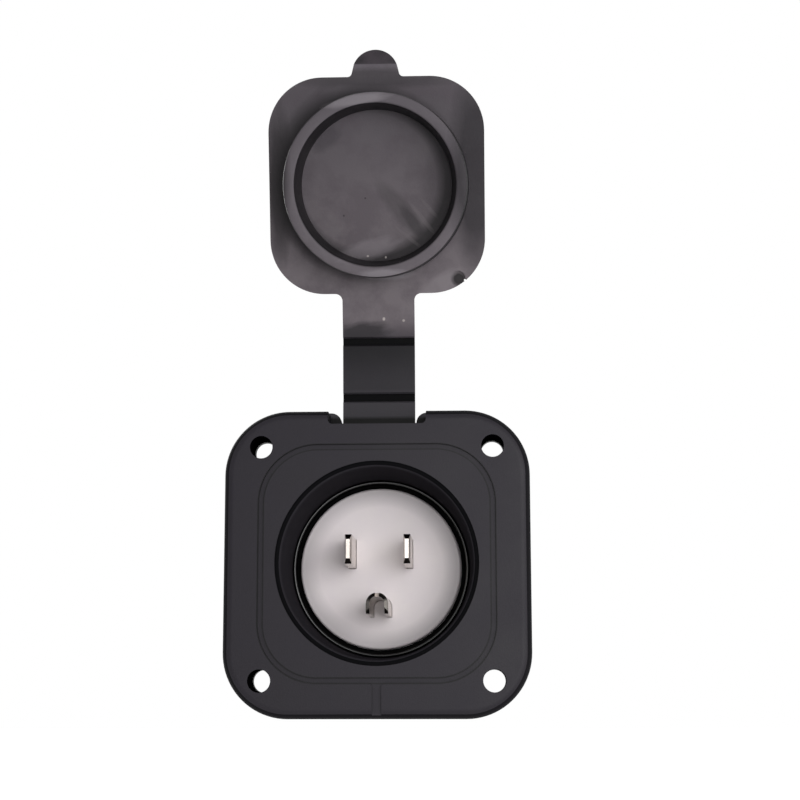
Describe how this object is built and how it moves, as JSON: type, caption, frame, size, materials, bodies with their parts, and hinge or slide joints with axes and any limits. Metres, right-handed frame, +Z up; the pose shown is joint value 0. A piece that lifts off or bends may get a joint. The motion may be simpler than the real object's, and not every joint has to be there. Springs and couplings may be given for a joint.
{
  "type": "flanged power inlet",
  "caption": "Square flanged three-pin power inlet for a camper wall, with a strap-hinged weather cap held open above it.",
  "frame": {"origin": "axis of the cup in the plane of the wall, at the back face of the gasket; centre of the four screw holes", "axes": "+Z up, towards the cap's strap; +Y into the wall; +X to the right seen from the front; the cup opens towards -Y"},
  "size_m": [0.066, 0.0821, 0.1455],
  "materials": {
    "housing": "moulded black polyamide, fine satin texture",
    "soft_cover": "dark grey thermoplastic elastomer, matt, dusty",
    "seal": "black rubber, smooth and slightly glossy",
    "carrier": "off-white moulded thermoset, satin",
    "contact": "nickel-plated brass strip, bright",
    "insulator": "dark phenolic moulding",
    "terminal": "plain brass",
    "screw": "zinc-plated steel",
    "rear_shell": "moulded black polyamide, satin"
  },
  "bodies": {
    "inlet": {"flange_housing": "housing", "wall_gasket": "soft_cover", "cup_seal_ring": "seal", "contact_carrier": "carrier", "line_blade": "contact", "neutral_blade": "contact", "ground_pin": "contact", "terminal_block": "insulator", "clamp_plates": "terminal", "terminal_screws": "terminal", "carrier_screws": "screw", "rear_cover": "rear_shell", "cover_seal": "seal", "cover_inserts": "terminal", "cover_screws": "screw", "gland_bush": "seal", "gland_washer": "rear_shell", "gland_nut": "rear_shell"},
    "strap": {"strap_link": "soft_cover"},
    "cap": {"cap_lid": "soft_cover"}
  },
  "joints": [
    {"name": "strap_hinge", "type": "hinge", "parent": "inlet", "child": "strap", "pos_m": [0, -0.0009, 0.0374], "axis": [1, 0, 0], "range_deg": [-5, 97.7]},
    {"name": "cap_hinge", "type": "hinge", "parent": "strap", "child": "cap", "pos_m": [0, -0.00201, 0.05005], "axis": [1, 0, 0], "range_deg": [-10, 67.3]}
  ]
}
